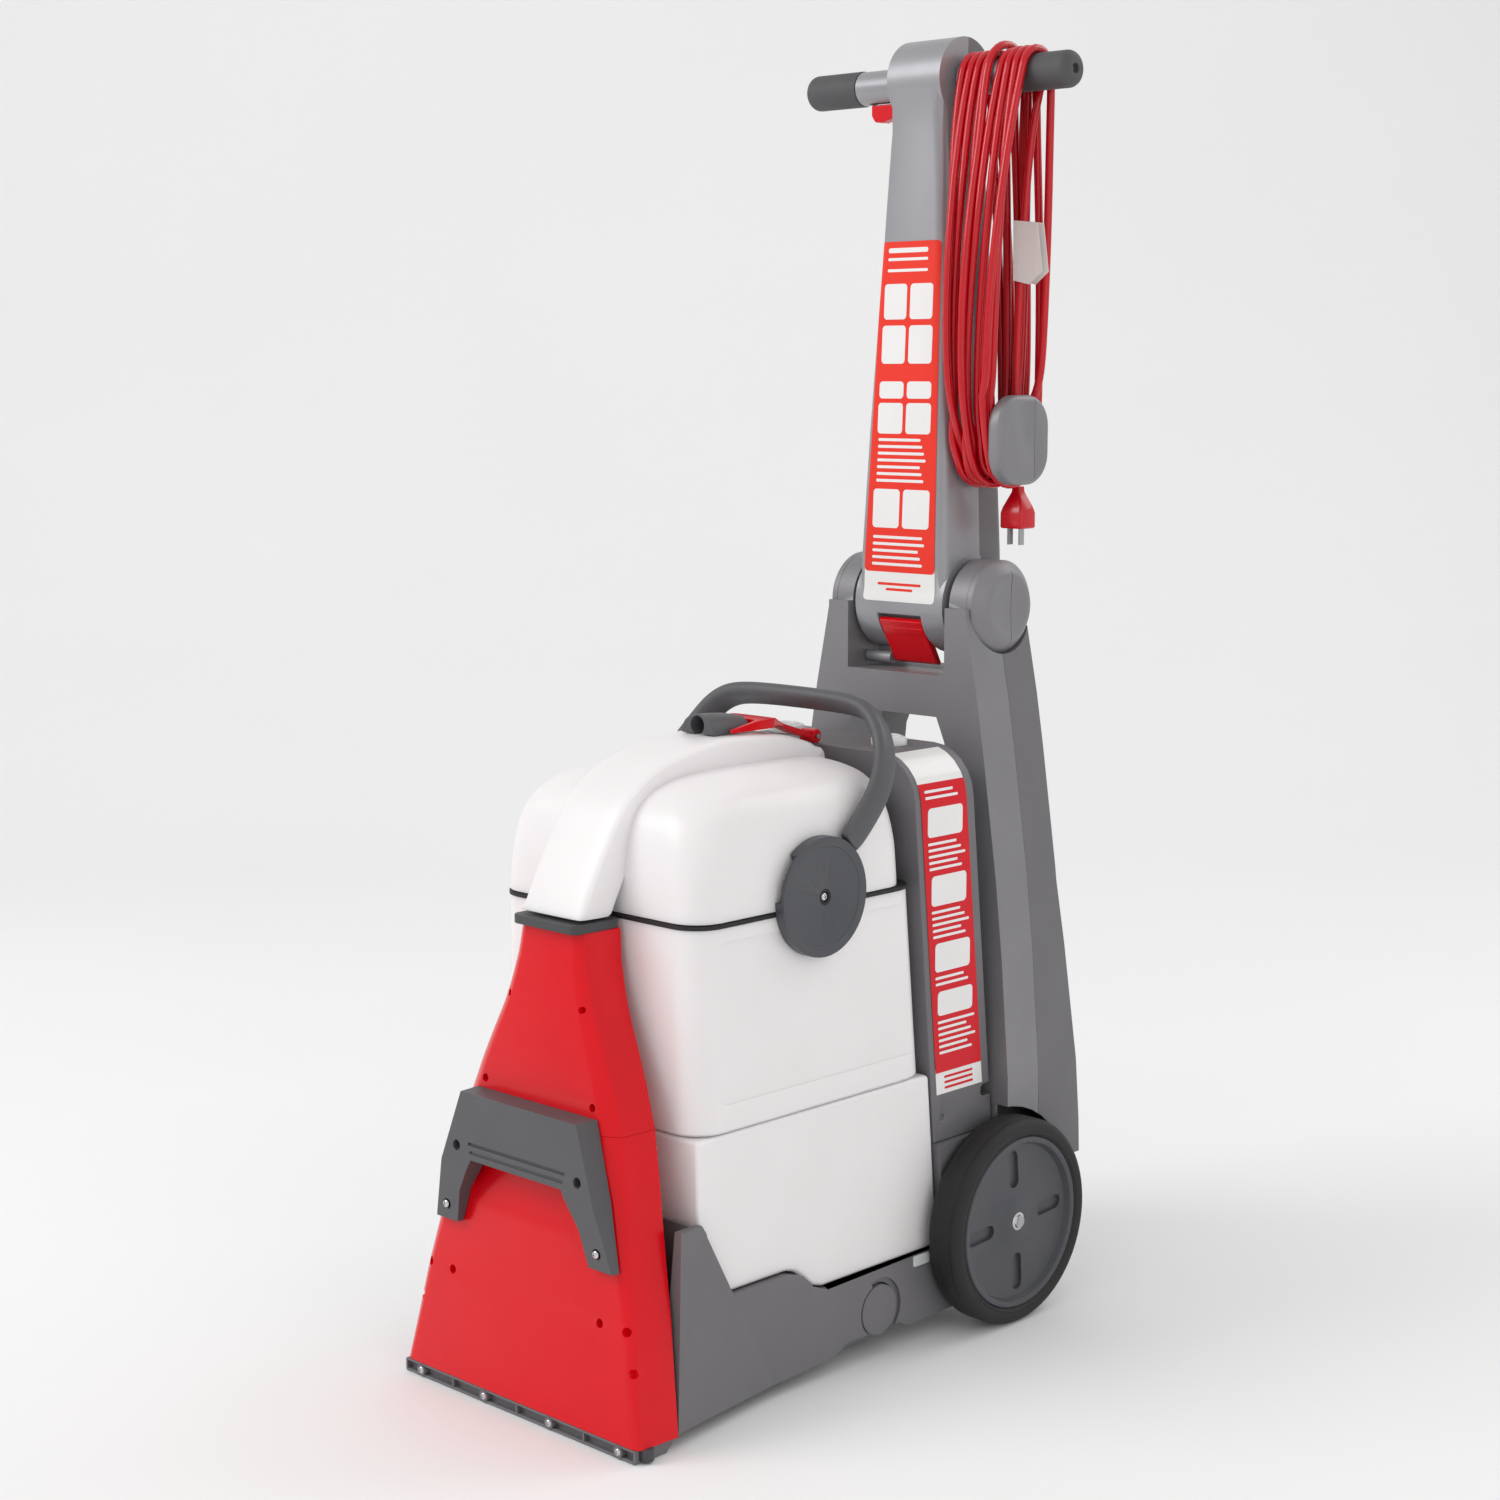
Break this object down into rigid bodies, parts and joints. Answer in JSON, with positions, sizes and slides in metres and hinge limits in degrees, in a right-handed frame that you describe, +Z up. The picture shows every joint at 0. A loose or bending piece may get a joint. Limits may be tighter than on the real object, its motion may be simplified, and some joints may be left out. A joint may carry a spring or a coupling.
{
  "type": "carpet cleaner machine",
  "caption": "Upright carpet extractor: red suction hood and grip at the front, translucent tanks, rear wheels, A-shaped frame and a reclining T-handle with its cord hung on it.",
  "frame": {"origin": "on the floor under the middle of the machine's bounding box", "axes": "+Z up; the suction nozzle faces -Y and the wheels are towards +Y; +X is the side that carries the cord"},
  "size_m": [0.332, 0.58, 1.153],
  "materials": {
    "hood_lower": "glossy moulded shell",
    "hood_upper": "glossy moulded shell",
    "hood_collar": "moulded",
    "front_grip": "fine moulded texture",
    "suction_nozzle": "moulded",
    "spray_nozzle": "turned",
    "chassis": "fine moulded texture",
    "rear_housing": "fine moulded texture",
    "vacuum_motor": "pressed steel case",
    "vacuum_fan_case": "moulded",
    "water_pump": "moulded",
    "port_cap_left": "translucent",
    "port_cap_right": "translucent",
    "frame_front": "satin metallic moulding",
    "frame_rear": "fine moulded texture",
    "hinge_pin": "ground",
    "boss_cap_left": "satin",
    "boss_cap_right": "satin",
    "axle": "ground",
    "push_nut_left": "pressed",
    "push_nut_right": "pressed",
    "hub_left": "satin",
    "hub_right": "satin",
    "tyre_left": "matt",
    "tyre_right": "matt",
    "brush_deck": "moulded",
    "pivot_disc_left": "moulded",
    "pivot_disc_right": "moulded",
    "brush_motor": "pressed steel case",
    "drive_belt": "flat belt",
    "brush_roll": "roll with bristle rows",
    "motor_pulley": "turned",
    "clean_tank": "translucent white",
    "recovery_tank": "translucent white",
    "tank_gasket": "moulded",
    "tank_lid": "translucent white",
    "drain_cap": "moulded",
    "lid_lever": "glossy",
    "carry_handle": "satin",
    "cam_disc_left": "satin",
    "cam_disc_right": "satin",
    "cam_screw_left": "plated",
    "cam_screw_right": "plated",
    "handle_front": "satin metallic moulding",
    "handle_rear": "fine moulded texture",
    "t_bar": "drawn tube",
    "bar_collar_left": "satin",
    "bar_collar_right": "satin",
    "grip_left": "soft grip",
    "grip_right": "soft grip",
    "cord_inlet": "moulded",
    "strain_relief": "ribbed",
    "supply_lead": "glossy sheath",
    "cord_hank": "glossy sheath",
    "plug_strand": "glossy sheath",
    "cord_plug": "moulded plug",
    "trigger": "glossy",
    "release_latch": "glossy",
    "power_switch": "glossy"
  },
  "bodies": {
    "base": {"chassis": "chassis", "hood_lower": "hood_lower", "hood_upper": "hood_upper", "hood_collar": "hood_collar", "front_grip": "front_grip", "suction_nozzle": "suction_nozzle", "spray_nozzle": "spray_nozzle", "rear_housing": "rear_housing", "vacuum_motor": "vacuum_motor", "vacuum_fan_case": "vacuum_fan_case", "water_pump": "water_pump", "port_cap_left": "port_cap_left", "port_cap_right": "port_cap_right", "frame_front": "frame_front", "frame_rear": "frame_rear", "hinge_pin": "hinge_pin", "boss_cap_left": "boss_cap_left", "boss_cap_right": "boss_cap_right", "axle": "axle", "push_nut_left": "push_nut_left", "push_nut_right": "push_nut_right"},
    "wheel_left": {"hub_left": "hub_left", "tyre_left": "tyre_left"},
    "wheel_right": {"hub_right": "hub_right", "tyre_right": "tyre_right"},
    "deck": {"brush_deck": "brush_deck", "pivot_disc_left": "pivot_disc_left", "pivot_disc_right": "pivot_disc_right", "brush_motor": "brush_motor", "drive_belt": "drive_belt"},
    "brush": {"brush_roll": "brush_roll"},
    "pulley": {"motor_pulley": "motor_pulley"},
    "tanks": {"clean_tank": "clean_tank", "recovery_tank": "recovery_tank", "tank_gasket": "tank_gasket"},
    "lid": {"tank_lid": "tank_lid", "drain_cap": "drain_cap"},
    "lever": {"lid_lever": "lid_lever"},
    "carry": {"carry_handle": "carry_handle", "cam_disc_left": "cam_disc_left", "cam_disc_right": "cam_disc_right", "cam_screw_left": "cam_screw_left", "cam_screw_right": "cam_screw_right"},
    "handle": {"handle_front": "handle_front", "handle_rear": "handle_rear", "t_bar": "t_bar", "bar_collar_left": "bar_collar_left", "bar_collar_right": "bar_collar_right", "grip_left": "grip_left", "grip_right": "grip_right", "cord_inlet": "cord_inlet", "strain_relief": "strain_relief", "supply_lead": "supply_lead", "cord_hank": "cord_hank", "plug_strand": "plug_strand", "cord_plug": "cord_plug"},
    "trigger": {"trigger": "trigger"},
    "latch": {"release_latch": "release_latch"},
    "switch": {"power_switch": "power_switch"}
  },
  "joints": [
    {"name": "wheel_left_spin", "type": "hinge", "parent": "base", "child": "wheel_left", "pos_m": [-0.148, 0.17, 0.094], "axis": [1, 0, 0], "continuous": true},
    {"name": "wheel_right_spin", "type": "hinge", "parent": "base", "child": "wheel_right", "pos_m": [0.148, 0.17, 0.094], "axis": [1, 0, 0], "continuous": true},
    {"name": "deck_float", "type": "hinge", "parent": "base", "child": "deck", "pos_m": [0, 0.017, 0.043], "axis": [-1, 0, 0], "range_deg": [0, 4]},
    {"name": "brush_spin", "type": "hinge", "parent": "deck", "child": "brush", "pos_m": [0, -0.165, 0.0345], "axis": [1, 0, 0], "continuous": true},
    {"name": "pulley_spin", "type": "hinge", "parent": "deck", "child": "pulley", "pos_m": [-0.102, -0.07, 0.042], "axis": [1, 0, 0], "continuous": true},
    {"name": "tanks_lift", "type": "slide", "parent": "base", "child": "tanks", "axis": [0, -0.0962, 0.9954], "range_m": [0, 0.04]},
    {"name": "lid_lift", "type": "slide", "parent": "tanks", "child": "lid", "axis": [0, -0.0962, 0.9954], "range_m": [0, 0.03]},
    {"name": "lever_tilt", "type": "hinge", "parent": "lid", "child": "lever", "pos_m": [0, 0.064, 0.533], "axis": [-1, 0, 0], "range_deg": [0, 25]},
    {"name": "carry_swing", "type": "hinge", "parent": "lid", "child": "carry", "pos_m": [0, -0.059, 0.422], "axis": [1, 0, 0], "range_deg": [0, 70]},
    {"name": "handle_recline", "type": "hinge", "parent": "base", "child": "handle", "pos_m": [0, 0.228, 0.643], "axis": [-1, 0, 0], "range_deg": [0, 60]},
    {"name": "trigger_squeeze", "type": "hinge", "parent": "handle", "child": "trigger", "pos_m": [-0.036, 0.2345, 1.096], "axis": [0, 1, 0], "range_deg": [0, 4], "stiffness_Nm_per_rad": 0.3, "springref_deg": -5.73},
    {"name": "latch_press", "type": "hinge", "parent": "base", "child": "latch", "pos_m": [0, 0.19, 0.627], "axis": [1, 0, 0], "range_deg": [0, 8], "stiffness_Nm_per_rad": 0.4, "springref_deg": -8.59},
    {"name": "switch_rock", "type": "hinge", "parent": "handle", "child": "switch", "pos_m": [0, 0.262, 0.945], "axis": [1, 0, 0], "range_deg": [-6, 6]}
  ],
  "couplings": [
    {"joint": "pulley_spin", "follows": "brush_spin", "ratio": 1.5}
  ]
}
